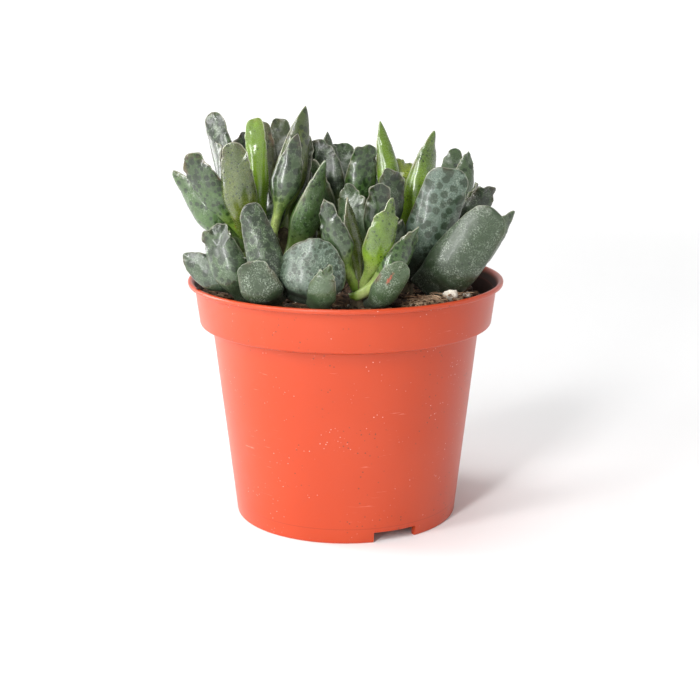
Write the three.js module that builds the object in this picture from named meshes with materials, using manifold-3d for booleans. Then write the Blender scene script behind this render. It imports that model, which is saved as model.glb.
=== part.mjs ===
import * as THREE from "three";
import { mergeVertices } from "three/addons/utils/BufferGeometryUtils.js";
import Module from "manifold-3d";

// Potted plover eggs plant: a clump of short leafy shoots in a small round plastic nursery pot.
// Millimetres, +Z up, origin at the middle of the flat pad under the pot, -Y towards the viewer.

// Driving dimensions of the pot
const BASE_RADIUS = 32.0;
const WALL = 1.0;
const INNER_DRAFT = 0.4;
const LEDGE_HEIGHT = 55.6;
const LEDGE_RADIUS = 38.2;
const COLLAR_RADIUS = 41.7;
const COLLAR_TOP_RADIUS = 43.1;
const RIM_RADIUS = 45.0;
const RIM_HEIGHT = 69.0;
const RIM_LIP = 1.5;
const FLOOR_HEIGHT = 3.6;
const PAD_RADIUS = 12.5;
const FOOT_WIDTH = 1.7;
const DRAIN_HOLES = 6;
const DRAIN_HOLE_RADIUS = 3.0;
const DRAIN_HOLE_RING = 21.5;
const NOTCHES = 3;
const NOTCH_WIDTH = 12.8;
const NOTCH_HEIGHT = 3.0;
const NOTCH_AZIMUTH = 25.5;
const POT_SEGMENTS = 44;

// Driving dimensions of the potting mix and of the plant
const GAP = 0.3;
const SOIL_TOP = 64.6;
const SOIL_SEGMENTS = 32;
const STEM_FOOT_RADIUS = 2.7;
const STEM_TOP_RADIUS = 2.1;
const STEM_DEPTH = 11.0;
const STEM_SIDES = 8;
const LEAF_SIDES = 6;
const LEAF_STATIONS = [0, 0.09, 0.27, 0.46, 0.65, 0.82, 0.945];
const THINNEST_HALF = 0.34;
const WAVES = 3.2;
const STEM_RINGS = [0, 0.6, 0.96];

const wasm = await Module();
wasm.setup();

// One leaf: root on the stem, tip, greatest width and thickness, and how it is shaped.
// face: compass bearing of its outer side, 0 towards the viewer, 90 to the right
// bow: how far it arches outwards; point: 0 blunt to 1 pointed; wave: depth of the crisped margin
// neck: half width at the root; shank: where along the leaf that narrow stalk ends; belly: where
// along the leaf it is widest; trim: share of that width
// lost by a tip that ends cut off, or 0 for a tip that closes in a curve
function leaf(root, tip, wide, thick, face, shape = {}) {
  const usual = { bow: 0.8, point: 0.2, wave: 0.8, neck: 1.5, belly: 0.6, shank: 0.14, trim: 0 };
  return { root, tip, wide, thick, face, ...usual, ...shape };
}

// The shoots that the front shows, each with its own stem and its leaves
const FRONT_SHOOTS = {
  shoot_left: {
    foot: [-23, -10],
    crown: [-27, -9, 86],
    rear: { turn: 120, count: 3, drop: 7, length: 21, seed: 3 },
    leaves: [
      leaf([-27.5, -10, 79], [-47.1, -12, 100.8], 9.6, 7, -40,
        { bow: 1.2, point: 0.85, wave: 0.5, belly: 0.5 }),
      leaf([-27.5, -10, 82], [-42.4, -17, 105.4], 9.2, 6, -20, { wave: 1, belly: 0.5, trim: 0.35 }),
      leaf([-27, -8, 84], [-37.6, 2, 115.4], 7.6, 5, -20, { wave: 0.6, belly: 0.5, trim: 0.3 }),
      leaf([-27, -10, 82], [-29.8, -21, 109.2], 9.8, 6.8, -12,
        { bow: 1.6, neck: 2.8, belly: 0.5, trim: 0.4 }),
      leaf([-26, -8, 85], [-25, -8, 114.6], 7.2, 5.6, 5, { bow: -0.6, neck: 2.2, belly: 0.45, trim: 0.15 }),
      leaf([-27, -8, 81], [-36, -4, 108], 6, 4.6, -80),
      leaf([-24.8, -9.8, 73.5], [-13, -13, 110.6], 8.6, 5.6, 0,
        { bow: 0.6, point: 0.85, neck: 1.35, belly: 0.56, shank: 0.27 }),
    ],
  },
  shoot_upper_middle: {
    foot: [-16, -6],
    crown: [-17.5, -4, 84],
    rear: { turn: 120, count: 2, drop: 8, length: 18, seed: 5 },
    leaves: [
      leaf([-17.5, -7, 73], [-5.6, -16, 104], 9.4, 7, 40,
        { bow: 1.2, point: 0.85, wave: 0.3, neck: 1.8, belly: 0.52 }),
      leaf([-20.5, -3, 80], [-11.2, 4, 117.2], 9.8, 6.4, 20, { point: 0.85, wave: 0.4, belly: 0.5 }),
      leaf([-18, -3, 82], [-23.2, 7, 113.6], 6.4, 5, 0, { trim: 0.3 }),
      leaf([-17, -2, 82], [-19.2, 14, 112.6], 8.4, 5, 0, { trim: 0.4 }),
      leaf([-19, -2, 78], [-24.5, 4, 103.6], 7.6, 4.6, -20, { trim: 0.3 }),
      leaf([-18, -4, 77], [-21.6, -4, 94.5], 4, 3.5, -60, { point: 0.6, wave: 0.4, neck: 1 }),
      leaf([-16.5, -3, 81], [-10.6, 8, 108.4], 6, 4.5, 140, { point: 0.4, neck: 1.2 }),
    ],
  },
  shoot_centre: {
    foot: [4, -22],
    crown: [3.5, -23, 73],
    rear: { turn: 195, count: 1, drop: 4, length: 15, seed: 7 },
    leaves: [
      leaf([3, -23.5, 70], [-5.8, -30, 95.6], 8.8, 6.2, -20,
        { bow: 1.2, point: 0.85, wave: 1, neck: 1.35, belly: 0.54, shank: 0.24 }),
      leaf([2.8, -22, 71], [0.4, -21, 94.8], 7, 4, 50,
        { bow: 0.3, point: 0.85, wave: 0.4, neck: 1.8, belly: 0.45 }),
      leaf([4.2, -23.5, 70], [12.1, -31, 95.4], 8.6, 6, 25,
        { bow: 1, point: 0.5, wave: 1.2, neck: 1.35, belly: 0.5, shank: 0.2 }),
      leaf([3.4, -25, 67.6], [19.6, -24, 87.5], 7.4, 6, 35,
        { bow: 4.6, point: 0.8, neck: 1.4, belly: 0.62, shank: 0.3 }),
      leaf([6, -25, 66.6], [13.8, -36, 79.8], 8.6, 6.5, 10,
        { bow: 2.4, point: 0.1, wave: 0.3, neck: 2.4, belly: 0.5 }),
    ],
  },
  shoot_behind_centre: {
    foot: [8, -10],
    crown: [8, -11, 78],
    rear: { turn: 150, count: 2, drop: 7, length: 16, seed: 9 },
    leaves: [
      leaf([7.6, -12, 74], [9.2, -19, 98.3], 7.6, 5.5, 10, { bow: 0.3, wave: 0.9, trim: 0.35 }),
      leaf([7, -11.5, 74], [0.4, -13, 96.8], 10, 5, -25, { point: 0.6, wave: 1.3 }),
      leaf([8.5, -12, 73], [15, -15, 87.3], 7.5, 4.5, 40, { point: 0.3, wave: 1.2 }),
      leaf([9.6, -10, 76], [13, -9, 100.6], 8.8, 5.5, 8, { bow: 0.5, wave: 0.9, trim: 0.3 }),
    ],
  },
  shoot_middle_back: {
    foot: [-3, 6],
    crown: [-0.5, 7, 85],
    rear: { turn: 100, count: 3, drop: 6, length: 19, seed: 13 },
    leaves: [
      leaf([-1, 6, 82], [-8.3, 7, 107.2], 12, 5.5, -30, { bow: 1, point: 0.5, neck: 1.8 }),
      leaf([-1, 8, 82], [-5.5, 18, 108.6], 6, 4.5, 200, { point: 0.8, neck: 1.3 }),
      leaf([0, 8, 82], [-1.2, 22, 104.8], 9, 5, 180, { trim: 0.3 }),
      leaf([-1, 5, 80], [-8.8, -3, 102.4], 6, 4, -40, { point: 0.6, neck: 1.2 }),
      leaf([1.6, 5.5, 81], [5.8, 2, 106.4], 9.2, 6, 15, { bow: 0.4, trim: 0.35 }),
    ],
  },
  shoot_right: {
    foot: [17, -3],
    crown: [16.5, -1, 85],
    rear: { turn: 75, count: 2, drop: 7, length: 18, seed: 15 },
    leaves: [
      leaf([14, 0, 83], [9.7, 8, 112.4], 7, 5.6, 20, { point: 0.85, wave: 0.3, belly: 0.5 }),
      leaf([16.6, 0, 84], [16.4, 8, 101.6], 6, 4, 10, { point: 0.1, wave: 1.2, neck: 1.3 }),
      leaf([15.6, -1, 80], [24.8, 2, 110.2], 8.8, 6.8, 30,
        { point: 0.85, wave: 0.4, neck: 2.2, belly: 0.55 }),
      leaf([18, -3.5, 69], [29, -14, 101.6], 13.4, 7.5, 16,
        { bow: 2.2, wave: 0.4, neck: 3.6, belly: 0.5, trim: 0.15 }),
    ],
  },
  shoot_right_back: {
    foot: [29, 10],
    crown: [30, 12, 84],
    rear: { turn: 60, count: 3, drop: 5, length: 20, seed: 17 },
    leaves: [
      leaf([30.8, 12, 82], [36, 17, 103.2], 7.2, 4.2, 20, { point: 0.85 }),
      leaf([30, 12.5, 82], [32.4, 24, 103], 8, 4.5, 170, { point: 0.5, wave: 0.6 }),
      leaf([30, 10.5, 77], [41.4, 6, 94], 7.8, 5.4, 20, { wave: 0.9, trim: 0.3 }),
    ],
  },
  shoot_front_right: {
    foot: [25, -12.5],
    crown: [25, -13, 71],
    rear: { turn: 160, count: 1, drop: 2, length: 13, seed: 19 },
    leaves: [
      leaf([23.2, -14.5, 67], [40.2, -23, 91.4], 14.8, 9.5, 6,
        { bow: 1.6, wave: 0.3, neck: 6.6, belly: 0.4, trim: 0.32 }),
      leaf([27.4, -11.6, 68], [47.2, -4, 88.4], 8.8, 4.6, 40,
        { bow: 1, point: 0.7, wave: 0.4, neck: 2.2, belly: 0.5 }),
    ],
  },
  shoot_front_left: {
    foot: [-27, -19],
    crown: [-27, -20, 71],
    rear: { turn: 240, count: 2, drop: 2, length: 17, seed: 21 },
    leaves: [
      leaf([-28, -20, 68.6], [-44.2, -19, 78.6], 9, 5, -10, { bow: 1, point: 0.6, neck: 2.2, belly: 0.5 }),
      leaf([-26.5, -22, 67], [-35.6, -26, 87.6], 10.4, 7, -25,
        { bow: 1.8, wave: 1.1, neck: 3.2, belly: 0.48, trim: 0.35 }),
    ],
  },
  shoot_front_middle: {
    foot: [-19.5, -26],
    crown: [-19, -27, 71],
    rear: { turn: 200, count: 1, drop: 2, length: 14, seed: 25 },
    leaves: [
      leaf([-18.3, -27, 68], [-25.2, -31, 94.6], 9.8, 7.4, -15,
        { bow: 1.8, wave: 0.4, neck: 3.4, belly: 0.4, trim: 0.45 }),
      leaf([-20, -28.5, 68], [-24.6, -36, 80], 11.8, 6, -15,
        { bow: 1.6, point: 0.1, wave: 0.4, neck: 4.6, belly: 0.4, trim: 0.35 }),
    ],
  },
  shoot_front_low: {
    foot: [-7, -26],
    crown: [-7, -27.5, 70],
    rear: { turn: 180, count: 1, drop: 2, length: 13, seed: 27 },
    leaves: [
      leaf([-10, -28, 67.5], [-7, -32, 85.4], 18, 10, 0,
        { bow: 2.2, point: 0.45, wave: 0.4, neck: 6, belly: 0.42 }),
      leaf([-7.2, -33.6, 67.4], [-4.2, -39.6, 79.6], 7, 4, -10,
        { point: 0.85, wave: 1, neck: 3, belly: 0.3 }),
    ],
  },
};

// The shoots at the back, with the same kind of leaves all round
const BACK_SHOOTS = {
  shoot_back_left: {
    foot: [-24, 14], crown: [-27, 16, 84], leaves: [],
    rear: { turn: 200, count: 6, drop: 1, length: 24, seed: 11 },
  },
  shoot_back_middle: {
    foot: [-9, 25], crown: [-10, 28, 80], leaves: [],
    rear: { turn: 150, count: 6, drop: 1, length: 24, seed: 23 },
  },
  shoot_back_right: {
    foot: [11, 22], crown: [11, 26, 77], leaves: [],
    rear: { turn: 120, count: 6, drop: 1, length: 23, seed: 37 },
  },
  shoot_back_far: {
    foot: [22, 21], crown: [24, 24, 77], leaves: [],
    rear: { turn: 100, count: 5, drop: 1, length: 20, seed: 41 },
  },
};

// How the leaves away from the viewer climb a stem: a spiral, the lower ones lying further out
const SPIRAL_TURN = 137.5;
const SPIRAL_STEP = 2.2;
const TOP_RISE = 78;
const RISE_STEP = 7.5;

// A repeatable stream of numbers from 0 to 1
function draws(seed) {
  let state = seed * 7919;
  return () => {
    state = (state * 16807) % 2147483647;
    return state / 2147483647;
  };
}

function rearLeaves({ crown, rear }) {
  const draw = draws(rear.seed);
  return Array.from({ length: rear.count }, (_, i) => {
    const bearing = rear.turn + i * SPIRAL_TURN;
    const below = rear.drop + i * SPIRAL_STEP;
    const rise = THREE.MathUtils.degToRad(TOP_RISE - (below / SPIRAL_STEP) * RISE_STEP);
    const length = rear.length * (0.9 + 0.25 * draw());
    const spread = length * Math.cos(rise);
    const angle = THREE.MathUtils.degToRad(bearing);
    const root = [crown[0], crown[1], crown[2] - below];
    const tip = [
      root[0] + spread * Math.sin(angle),
      root[1] - spread * Math.cos(angle),
      root[2] + length * Math.sin(rise),
    ];
    const wide = length * (0.36 + 0.1 * draw());
    return leaf(root, tip, wide, 0.66 * wide, bearing, { bow: 1.2, point: 0.5 * draw(), wave: 1.0 });
  });
}

const smooth = THREE.MathUtils.smoothstep;

// Half width, half thickness and section sharpness of a leaf at t, from 0 at its root to 1 at its tip
function leafSection({ wide, thick, point, neck, belly, shank, trim }, t) {
  const stalk = Math.min(shank, 0.6 * belly);
  const taper = belly + 0.2 - 0.32 * point;
  let halfWide = neck + (wide / 2 - neck) * smooth(t, stalk, belly);
  if (trim && t > belly) {
    const past = (t - belly) / (1 - belly);
    halfWide *= (1 - trim * Math.pow(past, 1.5)) * Math.pow(Math.max(0, 1 - Math.pow(past, 12)), 0.4);
  } else if (!trim && t > taper) {
    const past = (t - taper) / (1 - taper);
    halfWide *= Math.pow(Math.max(0, 1 - Math.pow(past, 2.6 - 1.1 * point)), 1 / (2.2 - point));
  }
  const root = Math.min(neck, 1.8);
  let halfThick = root + (thick / 2 - root) * smooth(t, 0.6 * stalk, belly - 0.1);
  halfThick *= 1 - 0.86 * smooth(t, belly - 0.1, 1);
  const sharp = 1 + 0.84 * smooth(t, belly - 0.05, 0.95);
  return { halfWide, halfThick: Math.max(halfThick, THINNEST_HALF), sharp };
}

// The closed surface of one leaf as rings of points, made larger all round by grow
function leafRings(blade, grow = 0) {
  const root = new THREE.Vector3(...blade.root);
  const along = new THREE.Vector3(...blade.tip).sub(root);
  const length = along.length();
  along.normalize();
  const face = THREE.MathUtils.degToRad(blade.face);
  const out = new THREE.Vector3(Math.sin(face), -Math.cos(face), 0);
  out.addScaledVector(along, -out.dot(along)).normalize();
  const side = new THREE.Vector3().crossVectors(out, along);
  const centre = (t) =>
    root.clone().addScaledVector(along, length * t)
      .addScaledVector(out, blade.bow * Math.sin(Math.PI * Math.pow(Math.max(t, 0), 0.75)));
  const rings = LEAF_STATIONS.map((t) => {
    const { halfWide, halfThick, sharp } = leafSection(blade, t);
    const crisp = blade.wave * smooth(t, 0.7, 1);
    const middle = centre(t);
    return Array.from({ length: LEAF_SIDES }, (_, j) => {
      const angle = (2 * Math.PI * j) / LEAF_SIDES;
      const across = Math.cos(angle);
      const up = Math.sin(angle);
      const rise = halfThick * Math.pow(Math.abs(up), sharp) * Math.sign(up) * (up > 0 ? 1.12 : 0.88);
      const bearing = Math.atan2(across * halfWide, (t - 0.76) * length);
      const ripple = crisp * (0.3 + 0.7 * Math.abs(across)) * Math.sin(WAVES * bearing);
      return middle.clone()
        .addScaledVector(side, across * (halfWide + grow))
        .addScaledVector(out, rise + grow * up + ripple);
    });
  });
  const start = root.clone().addScaledVector(along, -0.8 - grow);
  const end = centre(1).addScaledVector(along, grow);
  return { rings, start, end };
}

// Triangles over rings of points closed by a point at each end, split alike on both faces
function ringGeometry({ rings, start, end }) {
  const sides = rings[0].length;
  const points = [start, ...rings.flat(), end];
  const last = points.length - 1;
  const at = (ring, j) => 1 + ring * sides + (j % sides);
  const index = [];
  for (let j = 0; j < sides; j++) {
    index.push(0, at(0, j + 1), at(0, j));
    index.push(last, at(rings.length - 1, j), at(rings.length - 1, j + 1));
    for (let i = 0; i + 1 < rings.length; i++) {
      const [a, b, c, d] = [at(i, j), at(i, j + 1), at(i + 1, j + 1), at(i + 1, j)];
      if (j < sides / 2) index.push(a, b, c, a, c, d);
      else index.push(a, b, d, b, c, d);
    }
  }
  const geometry = new THREE.BufferGeometry();
  geometry.setAttribute("position", new THREE.Float32BufferAttribute(points.flatMap((p) => p.toArray()), 3));
  geometry.setIndex(index);
  return geometry;
}

// Solids for joining and cutting, and back to geometry
function toSolid(geometry) {
  const bare = geometry.clone();
  bare.deleteAttribute("normal");
  bare.deleteAttribute("uv");
  const merged = mergeVertices(bare, 1e-4);
  const vertProperties = new Float32Array(merged.attributes.position.array);
  const triVerts = new Uint32Array(merged.index.array);
  return new wasm.Manifold(new wasm.Mesh({ numProp: 3, vertProperties, triVerts }));
}

function toGeometry(solid) {
  const mesh = solid.getMesh();
  const geometry = new THREE.BufferGeometry();
  geometry.setAttribute("position", new THREE.BufferAttribute(mesh.vertProperties, 3));
  geometry.setIndex(new THREE.BufferAttribute(mesh.triVerts, 1));
  geometry.computeVertexNormals();
  return geometry;
}

function largestPiece(solid) {
  return solid.decompose().reduce((best, piece) => (piece.volume() > best.volume() ? piece : best));
}

// A round stem from below the soil to its crown, made larger all round by grow
function stemSolid({ foot, crown }, grow = 0) {
  const low = new THREE.Vector3(foot[0], foot[1], SOIL_TOP - STEM_DEPTH - grow);
  const high = new THREE.Vector3(...crown);
  const ring = (t, radius) =>
    Array.from({ length: STEM_SIDES }, (_, j) => {
      const angle = (2 * Math.PI * j) / STEM_SIDES;
      const point = low.clone().lerp(high, t);
      point.x += radius * Math.cos(angle);
      point.y += radius * Math.sin(angle);
      return point;
    });
  const rings = STEM_RINGS.map((t) =>
    ring(t, THREE.MathUtils.lerp(STEM_FOOT_RADIUS, STEM_TOP_RADIUS, t) + grow));
  const start = low.clone();
  const end = high.clone();
  end.z += grow;
  return toSolid(ringGeometry({ rings, start, end }));
}

function leavesSolid(leaves, grow = 0) {
  return wasm.Manifold.union(leaves.map((blade) => toSolid(ringGeometry(leafRings(blade, grow)))));
}

// The pot: thin wall with a collar and a rolled rim, standing on a foot ring and a flat middle pad
function potGeometry() {
  const profile = [
    [0, 0], [PAD_RADIUS, 0], [PAD_RADIUS + 1.2, FLOOR_HEIGHT],
    [BASE_RADIUS - FOOT_WIDTH, FLOOR_HEIGHT], [BASE_RADIUS - FOOT_WIDTH, 0], [BASE_RADIUS, 0],
    [LEDGE_RADIUS, LEDGE_HEIGHT], [COLLAR_RADIUS, LEDGE_HEIGHT + 0.9],
    [COLLAR_TOP_RADIUS, RIM_HEIGHT - RIM_LIP], [RIM_RADIUS - 0.3, RIM_HEIGHT - RIM_LIP + 0.3],
    [RIM_RADIUS, RIM_HEIGHT - 0.8], [RIM_RADIUS - 0.3, RIM_HEIGHT - 0.2], [RIM_RADIUS - 0.9, RIM_HEIGHT],
    [RIM_RADIUS - 2.0, RIM_HEIGHT], [COLLAR_TOP_RADIUS - 0.6, RIM_HEIGHT - 0.4],
    [COLLAR_TOP_RADIUS - WALL, RIM_HEIGHT - RIM_LIP], [COLLAR_RADIUS - WALL, LEDGE_HEIGHT + 1.9],
    [LEDGE_RADIUS - WALL, LEDGE_HEIGHT + 1.0], [BASE_RADIUS - WALL + INNER_DRAFT, FLOOR_HEIGHT + WALL],
    [PAD_RADIUS + INNER_DRAFT, FLOOR_HEIGHT + WALL], [PAD_RADIUS - 0.8, WALL], [0, WALL],
  ];
  const turned = new THREE.LatheGeometry(profile.map(([r, z]) => new THREE.Vector2(r, z)), POT_SEGMENTS);
  turned.rotateX(Math.PI / 2);
  let pot = toSolid(turned);
  for (let i = 0; i < DRAIN_HOLES; i++) {
    const angle = (2 * Math.PI * i) / DRAIN_HOLES;
    const hole = new THREE.CylinderGeometry(DRAIN_HOLE_RADIUS, DRAIN_HOLE_RADIUS, 6, 16);
    hole.rotateX(Math.PI / 2);
    hole.translate(DRAIN_HOLE_RING * Math.cos(angle), DRAIN_HOLE_RING * Math.sin(angle), FLOOR_HEIGHT);
    pot = pot.subtract(toSolid(hole));
  }
  for (let i = 0; i < NOTCHES; i++) {
    const notch = new THREE.BoxGeometry(NOTCH_WIDTH, 5, 2 * NOTCH_HEIGHT);
    notch.translate(0, -BASE_RADIUS, 0);
    notch.rotateZ(THREE.MathUtils.degToRad(NOTCH_AZIMUTH + (360 * i) / NOTCHES));
    pot = pot.subtract(toSolid(notch));
  }
  return toGeometry(pot);
}

// Height of the soil's uneven top: low beside the right back wall, heaped up at the right front
function soilHeight(x, y) {
  const broad = 0.7 * Math.sin(0.23 * x + 0.6) * Math.cos(0.19 * y - 0.4);
  const small = 0.4 * Math.sin(0.41 * y + 0.3 * x);
  const dip = 2.6 * Math.exp(-((x - 38) ** 2 + (y - 12) ** 2) / 150);
  const heap = 1.6 * Math.exp(-((x - 30) ** 2 + (y + 28) ** 2) / 160);
  return SOIL_TOP + broad + small - dip + heap;
}

// The soil: it fills the pot inside its wall, with a hole for each stem
function soilSolid(shoots) {
  const side = WALL + GAP;
  const floor = FLOOR_HEIGHT + WALL + GAP;
  const slope = (COLLAR_TOP_RADIUS - COLLAR_RADIUS) / (RIM_HEIGHT - RIM_LIP - LEDGE_HEIGHT - 1.9);
  const edgeAt = (z) => COLLAR_RADIUS - side + slope * (z - LEDGE_HEIGHT - 1.9);
  const edge = edgeAt(SOIL_TOP);
  const rings = [1, 0.82, 0.64, 0.46, 0.28, 0].map((share) => [edge * share, SOIL_TOP]);
  const profile = [
    [0, side], [PAD_RADIUS - 1.2, side], [PAD_RADIUS + 0.1, floor], [BASE_RADIUS - 0.8, floor],
    [LEDGE_RADIUS - side - 0.1, LEDGE_HEIGHT + 1.4], [COLLAR_RADIUS - side - 0.2, LEDGE_HEIGHT + 2.4],
    ...rings,
  ];
  const heap = new THREE.LatheGeometry(profile.map(([r, z]) => new THREE.Vector2(r, z)), SOIL_SEGMENTS);
  heap.rotateX(Math.PI / 2);
  const position = heap.attributes.position;
  for (let i = 0; i < position.count; i++) {
    if (position.getZ(i) < SOIL_TOP - 1) continue;
    const [x, y] = [position.getX(i), position.getY(i)];
    const z = soilHeight(x, y);
    const fit = edgeAt(z) / edge;
    position.setXYZ(i, x * fit, y * fit, z);
  }
  return shoots.reduce((soil, shoot) => soil.subtract(shoot), toSolid(heap));
}

// Grains on the soil: white perlite and dark bark, each a rough lump resting on the surface
const GRAINS = {
  perlite_chip_front: { at: [28.5, -25], size: [5.0, 3.4, 3.0], turn: 20, colour: "#d9d4c9" },
  perlite_chip_right: { at: [33, -20], size: [2.6, 2.2, 1.8], turn: 70, colour: "#d9d4c9" },
  perlite_chip_back: { at: [-12, 12], size: [3.2, 2.6, 2.2], turn: 130, colour: "#d9d4c9" },
  bark_chip_middle: { at: [13, -24], size: [6.0, 3.0, 2.4], turn: 35, colour: "#3a2a20" },
  bark_chip_right: { at: [34, 2], size: [6.5, 3.6, 2.4], turn: -25, colour: "#3a2a20" },
};

function grainGeometry({ at: [x, y], size, turn }) {
  const lump = new THREE.IcosahedronGeometry(0.5, 0);
  lump.scale(...size);
  lump.rotateZ(THREE.MathUtils.degToRad(turn));
  lump.translate(x, y, soilHeight(x, y) + size[2] / 2 + 2 * GAP);
  return lump;
}

// Colours
const paint = (color, roughness, metalness = 0) =>
  new THREE.MeshStandardMaterial({ color, roughness, metalness });
const group = new THREE.Group();

function addMesh(name, geometry, material) {
  const mesh = new THREE.Mesh(geometry, material);
  mesh.name = name;
  group.add(mesh);
}

addMesh("pot", potGeometry(), paint("#e8623f", 0.45));

// The stem and the shown leaves of each shoot give way, by a small gap, to the shoots before it
const shoots = Object.entries({ ...FRONT_SHOOTS, ...BACK_SHOOTS });
const clearOf = (solid, others) => others.reduce((rest, other) => rest.subtract(other), solid);
const cores = [];
const coresGrown = [];
for (const [, shoot] of shoots) {
  const whole = stemSolid(shoot).add(leavesSolid(shoot.leaves));
  cores.push(largestPiece(clearOf(whole, coresGrown)));
  coresGrown.push(stemSolid(shoot, GAP).add(leavesSolid(shoot.leaves, GAP)));
}

// The leaves behind give way to every other shoot
const rearsGrown = [];
shoots.forEach(([name, shoot], i) => {
  const leaves = rearLeaves(shoot);
  const others = [...coresGrown.filter((_, j) => j !== i), ...rearsGrown];
  const solid = cores[i].add(clearOf(leavesSolid(leaves), others));
  addMesh(name, toGeometry(largestPiece(solid)), paint("#6f8468", 0.5));
  rearsGrown.push(leavesSolid(leaves, GAP));
});

addMesh("soil", toGeometry(largestPiece(soilSolid([...coresGrown, ...rearsGrown]))), paint("#3b2a20", 0.95));
for (const [name, grain] of Object.entries(GRAINS)) {
  addMesh(name, grainGeometry(grain), paint(grain.colour, 0.9));
}

export default group;
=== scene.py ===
import random
from math import atan2, ceil, copysign, cos, exp, hypot, pi, radians, sin, sqrt

import bpy
from bpy.props import FloatProperty, FloatVectorProperty, IntProperty, PointerProperty
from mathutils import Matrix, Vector, noise


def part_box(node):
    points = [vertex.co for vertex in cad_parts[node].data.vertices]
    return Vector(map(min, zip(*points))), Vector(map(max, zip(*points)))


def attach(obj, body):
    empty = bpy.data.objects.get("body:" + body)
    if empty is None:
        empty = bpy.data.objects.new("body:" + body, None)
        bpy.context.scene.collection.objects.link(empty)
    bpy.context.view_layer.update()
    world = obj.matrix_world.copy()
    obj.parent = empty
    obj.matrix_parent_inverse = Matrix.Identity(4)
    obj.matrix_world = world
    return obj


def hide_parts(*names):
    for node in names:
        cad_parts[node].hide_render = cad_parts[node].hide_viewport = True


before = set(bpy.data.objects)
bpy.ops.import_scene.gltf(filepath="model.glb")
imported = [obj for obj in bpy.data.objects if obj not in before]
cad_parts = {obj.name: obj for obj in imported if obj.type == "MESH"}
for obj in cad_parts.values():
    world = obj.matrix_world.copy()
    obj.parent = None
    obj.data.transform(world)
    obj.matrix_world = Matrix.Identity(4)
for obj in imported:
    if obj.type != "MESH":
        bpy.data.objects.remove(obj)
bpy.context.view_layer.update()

bl_info = {
    "name": "Potted plover eggs plant",
    "version": (1, 0, 0),
    "blender": (4, 5, 0),
    "location": "View3D > Sidebar > Plover Eggs",
    "description": "Builds a spotted succulent with crisped leaves in its plastic nursery pot",
    "category": "Add Mesh",
}

MM = 0.001
POT_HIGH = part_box("pot")[1]
SOIL_TOP = 64.6


# Colours

def tone(code):
    """A screen colour such as #7d8f7c as the linear colour with alpha that shaders take."""
    parts = [int(code[i:i + 2], 16) / 255 for i in (1, 3, 5)]
    linear = [p / 12.92 if p <= 0.04045 else ((p + 0.055) / 1.055) ** 2.4 for p in parts]
    return (*linear, 1.0)


TINTS = {
    "grey": "#485d3d",
    "bluish": "#445641",
    "silver": "#55675a",
    "dark": "#2e3e26",
    "olive": "#5f6a20",
    "brown": "#4d4c2b",
    "fresh": "#76981e",
    "lime": "#8f9f2c",
    "mottled": "#45662c",
}


# Shader graphs

class Value:
    """One socket of a graph: arithmetic on it adds Math nodes."""

    def __init__(self, graph, socket):
        self.graph = graph
        self.socket = socket

    def math(self, operation, *others):
        inputs = dict(enumerate((self, *others)))
        return self.graph.node("ShaderNodeMath", {"operation": operation}, inputs)

    def __add__(self, other):
        return self.math("ADD", other)

    def __sub__(self, other):
        return self.math("SUBTRACT", other)

    def __rsub__(self, other):
        return self.graph.node("ShaderNodeMath", {"operation": "SUBTRACT"}, {0: other, 1: self})

    def __mul__(self, other):
        return self.math("MULTIPLY", other)

    __radd__ = __add__
    __rmul__ = __mul__


class Graph:
    """A material's node graph, ended by surface()."""

    def __init__(self, name):
        self.material = bpy.data.materials.new(name)
        self.material.use_nodes = True
        self.tree = self.material.node_tree
        self.tree.nodes.clear()

    def node(self, kind, settings=None, inputs=None, output=0):
        made = self.tree.nodes.new(kind)
        for key, value in (settings or {}).items():
            setattr(made, key, value)
        for key, value in (inputs or {}).items():
            if isinstance(value, Value):
                self.tree.links.new(value.socket, made.inputs[key])
            else:
                made.inputs[key].default_value = value
        return Value(self, made.outputs[output])

    def place(self):
        return self.node("ShaderNodeTexCoord", output="Object")

    def stored(self, name):
        """The three numbers kept on each point under that name."""
        vector = self.node("ShaderNodeAttribute", {"attribute_name": name}, output="Vector")
        return [self.node("ShaderNodeSeparateXYZ", {}, {0: vector}, axis) for axis in range(3)]

    def stored_colour(self, name):
        return self.node("ShaderNodeAttribute", {"attribute_name": name}, output="Color")

    def noise(self, scale, detail=2.0, roughness=0.5, place=None):
        vector = place or self.place()
        inputs = {"Vector": vector, "Scale": scale, "Detail": detail, "Roughness": roughness}
        return self.node("ShaderNodeTexNoise", {}, inputs)

    def cells(self, scale):
        """Distance to the nearest of many scattered points."""
        inputs = {"Vector": self.place(), "Scale": scale}
        return self.node("ShaderNodeTexVoronoi", {"feature": "F1"}, inputs, "Distance")

    def stretched(self, x, y, z):
        inputs = {0: self.place(), 1: (x, y, z)}
        return self.node("ShaderNodeVectorMath", {"operation": "MULTIPLY"}, inputs)

    def length(self, vector):
        return self.node("ShaderNodeVectorMath", {"operation": "LENGTH"}, {0: vector}, "Value")

    def height(self):
        return self.node("ShaderNodeSeparateXYZ", {}, {0: self.place()}, 2)

    def smooth(self, value, low, high):
        """0 below low and 1 above high, with a soft step between; low may be above high."""
        inputs = {0: value, 1: low, 2: high}
        return self.node("ShaderNodeMapRange", {"interpolation_type": "SMOOTHSTEP"}, inputs)

    def mix(self, factor, a, b, blend="MIX"):
        settings = {"data_type": "RGBA", "blend_type": blend}
        return self.node("ShaderNodeMix", settings, {0: factor, 6: a, 7: b}, 2)

    def bump(self, height, distance, strength=1.0):
        inputs = {"Height": height, "Distance": distance, "Strength": strength}
        return self.node("ShaderNodeBump", {}, inputs)

    def surface(self, **inputs):
        named = {key.replace("_", " "): value for key, value in inputs.items()}
        shader = self.node("ShaderNodeBsdfPrincipled", {}, named)
        end = self.tree.nodes.new("ShaderNodeOutputMaterial")
        self.tree.links.new(shader.socket, end.inputs["Surface"])
        return self.material


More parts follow.
